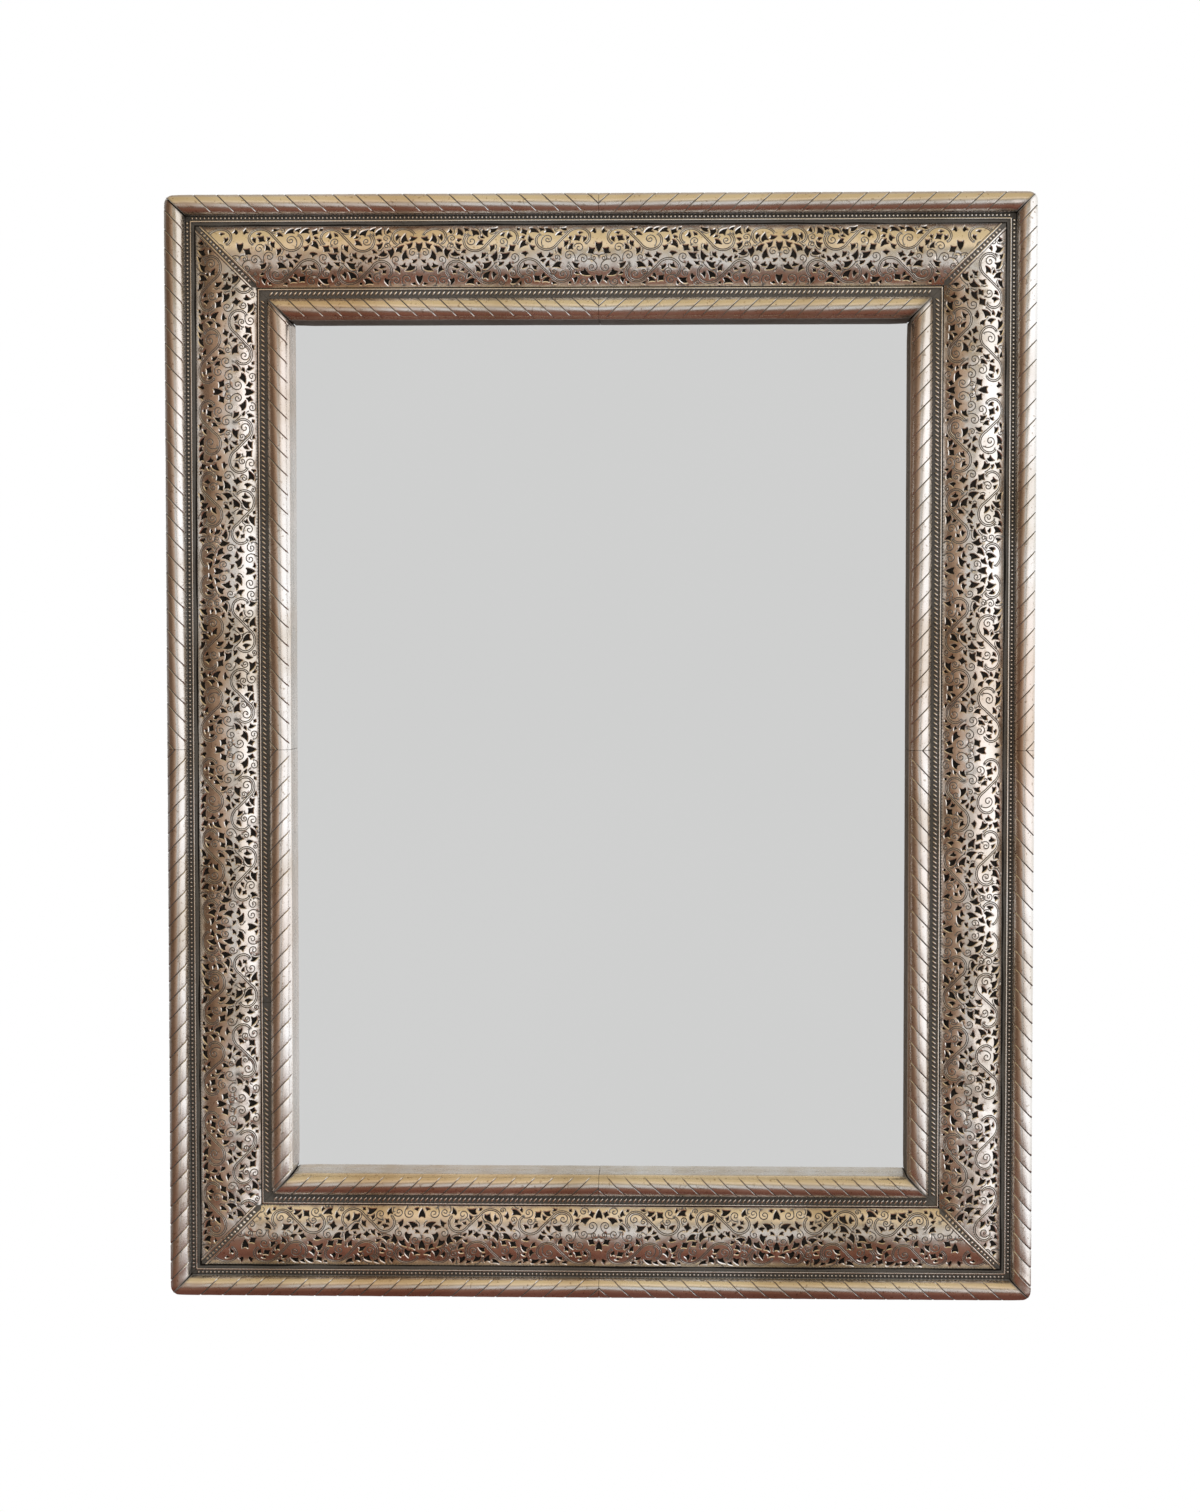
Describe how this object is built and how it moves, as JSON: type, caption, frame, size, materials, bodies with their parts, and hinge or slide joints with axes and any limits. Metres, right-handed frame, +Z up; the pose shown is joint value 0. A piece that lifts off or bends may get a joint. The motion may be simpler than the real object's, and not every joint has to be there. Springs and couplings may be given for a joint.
{
  "type": "framed wall mirror",
  "caption": "Rectangular wall mirror in a wooden frame clad in pierced scrollwork sheet metal with scored round beads, and ring hangers behind.",
  "frame": {"origin": "middle of the back, in the plane of the back panel's rear face", "axes": "+Z up, +Y from the mirror towards the wall, the mirror looks along -Y, +X to the right of someone who looks into it"},
  "size_m": [0.62, 0.0393, 0.79],
  "materials": {
    "wood": "softwood stained near black",
    "pierced_sheet": "antiqued nickel silver, engraved and pierced",
    "border_strip": "antiqued nickel silver, embossed",
    "bead_sleeve": "antiqued nickel silver, polished and scored",
    "mirror": "silvered float glass",
    "back_board": "raw plywood",
    "steel": "zinc plated",
    "bumper": "matt"
  },
  "bodies": {
    "frame": {"back_panel": "back_board", "bottom_rail": "wood", "frieze_bottom": "pierced_sheet", "frieze_left": "pierced_sheet", "frieze_right": "pierced_sheet", "frieze_top": "pierced_sheet", "hanger_screws": "steel", "hanger_strap_left": "steel", "hanger_strap_right": "steel", "inner_bead_bottom_left": "bead_sleeve", "inner_bead_bottom_right": "bead_sleeve", "inner_bead_left_lower": "bead_sleeve", "inner_bead_left_upper": "bead_sleeve", "inner_bead_right_lower": "bead_sleeve", "inner_bead_right_upper": "bead_sleeve", "inner_bead_top_left": "bead_sleeve", "inner_bead_top_right": "bead_sleeve", "inner_strip_bottom": "border_strip", "inner_strip_left_lower": "border_strip", "inner_strip_left_upper": "border_strip", "inner_strip_right": "border_strip", "inner_strip_top": "border_strip", "left_stile": "wood", "mirror_glass": "mirror", "mitre_pins": "steel", "mitre_strip_bottom_left": "border_strip", "mitre_strip_bottom_right": "border_strip", "mitre_strip_top_left": "border_strip", "mitre_strip_top_right": "border_strip", "outer_bead_bottom_left": "bead_sleeve", "outer_bead_bottom_right": "bead_sleeve", "outer_bead_left_lower": "bead_sleeve", "outer_bead_left_upper": "bead_sleeve", "outer_bead_right_lower": "bead_sleeve", "outer_bead_right_upper": "bead_sleeve", "outer_bead_top_left": "bead_sleeve", "outer_bead_top_right": "bead_sleeve", "outer_strip_bottom": "border_strip", "outer_strip_left": "border_strip", "outer_strip_right": "border_strip", "outer_strip_top": "border_strip", "panel_pins": "steel", "right_stile": "wood", "top_rail": "wood", "wall_bumpers": "bumper"},
    "ring_left": {"hanger_ring_left": "steel"},
    "ring_right": {"hanger_ring_right": "steel"}
  },
  "joints": [
    {"name": "ring_left_swing", "type": "hinge", "parent": "frame", "child": "ring_left", "pos_m": [-0.26575, 0.0034, 0.225], "axis": [1, 0, 0], "range_deg": [0, 180]},
    {"name": "ring_right_swing", "type": "hinge", "parent": "frame", "child": "ring_right", "pos_m": [0.26575, 0.0034, 0.225], "axis": [1, 0, 0], "range_deg": [0, 180]}
  ]
}
